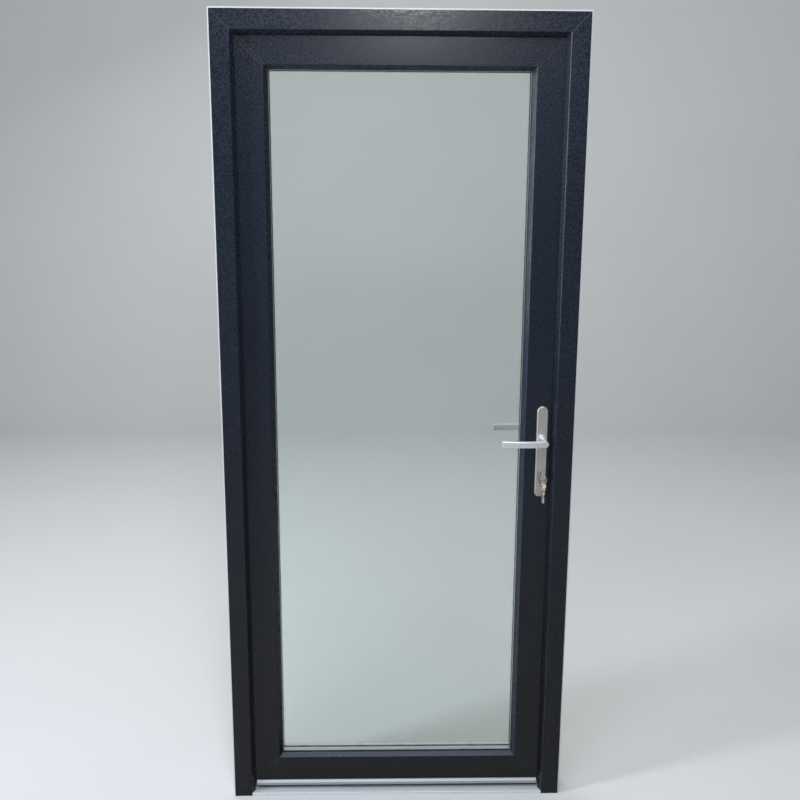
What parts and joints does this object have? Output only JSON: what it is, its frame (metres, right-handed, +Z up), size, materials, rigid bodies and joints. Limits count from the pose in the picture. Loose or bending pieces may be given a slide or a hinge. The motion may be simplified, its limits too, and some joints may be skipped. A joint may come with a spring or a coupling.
{
  "type": "glazed entrance door",
  "caption": "Single-leaf entrance door of dark-faced plastic profiles with full-height double glazing, lever handles, keyed lock and an aluminium threshold, in its frame.",
  "frame": {"origin": "middle of the threshold's underside, half way through the frame's depth", "axes": "-Y is outside, +Y the room, +X the lock side, +Z up"},
  "size_m": [0.9, 0.206, 2.05],
  "materials": {
    "frame_profile": "white profile with an anthracite grained foil outside",
    "leaf_profile": "white profile with an anthracite grained foil outside",
    "white_plastic": "smooth",
    "gasket": "satin",
    "edge_sealant": "matt",
    "block_plastic": "plain",
    "glass": "clear float glass",
    "sill_aluminium": "mill finish, lightly weathered",
    "spacer_aluminium": "bright",
    "hinge_steel": "white powder coat",
    "handle_plate": "satin anodised",
    "lever_aluminium": "satin anodised",
    "nickel": "nickel plated",
    "key_brass": "worn",
    "zinc_steel": "zinc plated"
  },
  "bodies": {
    "frame": {"jamb_hinge_side": "frame_profile", "jamb_lock_side": "frame_profile", "head": "frame_profile", "jamb_steel_hinge_side": "zinc_steel", "jamb_steel_lock_side": "zinc_steel", "head_steel": "zinc_steel", "frame_gasket": "gasket", "threshold": "sill_aluminium", "threshold_base": "white_plastic", "hinge_frame_leaf_lower": "hinge_steel", "hinge_frame_leaf_middle": "hinge_steel", "hinge_frame_leaf_upper": "hinge_steel", "hinge_pins": "hinge_steel", "frame_screws": "zinc_steel", "lock_keep": "zinc_steel", "keep_lower": "zinc_steel", "keep_upper": "zinc_steel"},
    "leaf": {"stile_hinge_side": "leaf_profile", "stile_lock_side": "leaf_profile", "top_rail": "leaf_profile", "bottom_rail": "leaf_profile", "stile_steel_hinge_side": "zinc_steel", "stile_steel_lock_side": "zinc_steel", "top_rail_steel": "zinc_steel", "bottom_rail_steel": "zinc_steel", "leaf_gasket": "gasket", "glazing_gasket": "gasket", "pane_outside": "glass", "pane_inside": "glass", "spacer": "spacer_aluminium", "edge_seal": "edge_sealant", "setting_blocks": "block_plastic", "bead_hinge_side": "white_plastic", "bead_lock_side": "white_plastic", "bead_top": "white_plastic", "bead_bottom": "white_plastic", "drip_bar": "sill_aluminium", "hinge_door_leaf_lower": "hinge_steel", "hinge_door_leaf_middle": "hinge_steel", "hinge_door_leaf_upper": "hinge_steel", "leaf_screws": "zinc_steel", "lock_case": "zinc_steel", "side_lock_cases": "zinc_steel", "faceplate": "zinc_steel", "cylinder_body": "nickel", "cylinder_screw": "zinc_steel", "handle_plate_outside": "handle_plate", "handle_plate_inside": "handle_plate", "handle_plate_screws": "zinc_steel"},
    "levers": {"lever_outside": "lever_aluminium", "lever_inside": "lever_aluminium", "spindle": "zinc_steel"},
    "latch": {"latch_bolt": "zinc_steel"},
    "key_set": {"plug_and_cam": "nickel", "key": "nickel", "key_ring": "nickel", "spare_key": "key_brass"},
    "bolts": {"deadbolt": "zinc_steel", "side_bolts": "zinc_steel"},
    "rods": {"drive_rods": "zinc_steel"}
  },
  "joints": [
    {"name": "door_swing", "type": "hinge", "parent": "frame", "child": "leaf", "pos_m": [-0.437, 0.057, 1.025], "axis": [0, 0, 1], "range_deg": [0, 100]},
    {"name": "lever_turn", "type": "hinge", "parent": "leaf", "child": "levers", "pos_m": [0.368, 0.022, 1.013], "axis": [0, -1, 0], "range_deg": [0, 45], "stiffness_Nm_per_rad": 1.2, "springref_deg": -20.05},
    {"name": "latch_slide", "type": "slide", "parent": "leaf", "child": "latch", "axis": [-1, 0, 0], "range_m": [0, 0.016]},
    {"name": "key_turn", "type": "hinge", "parent": "leaf", "child": "key_set", "pos_m": [0.368, 0, 0.921], "axis": [0, 1, 0], "range_deg": [0, 360]},
    {"name": "bolts_slide", "type": "slide", "parent": "leaf", "child": "bolts", "axis": [1, 0, 0], "range_m": [0, 0.02]},
    {"name": "rods_slide", "type": "slide", "parent": "leaf", "child": "rods", "axis": [0, 0, 1], "range_m": [0, 0.0181]}
  ],
  "couplings": [
    {"joint": "latch_slide", "follows": "lever_turn", "m_per_rad": 0.0203},
    {"joint": "key_turn", "follows": "bolts_slide", "rad_per_m": 314.15},
    {"joint": "rods_slide", "follows": "bolts_slide", "ratio": 0.9}
  ]
}
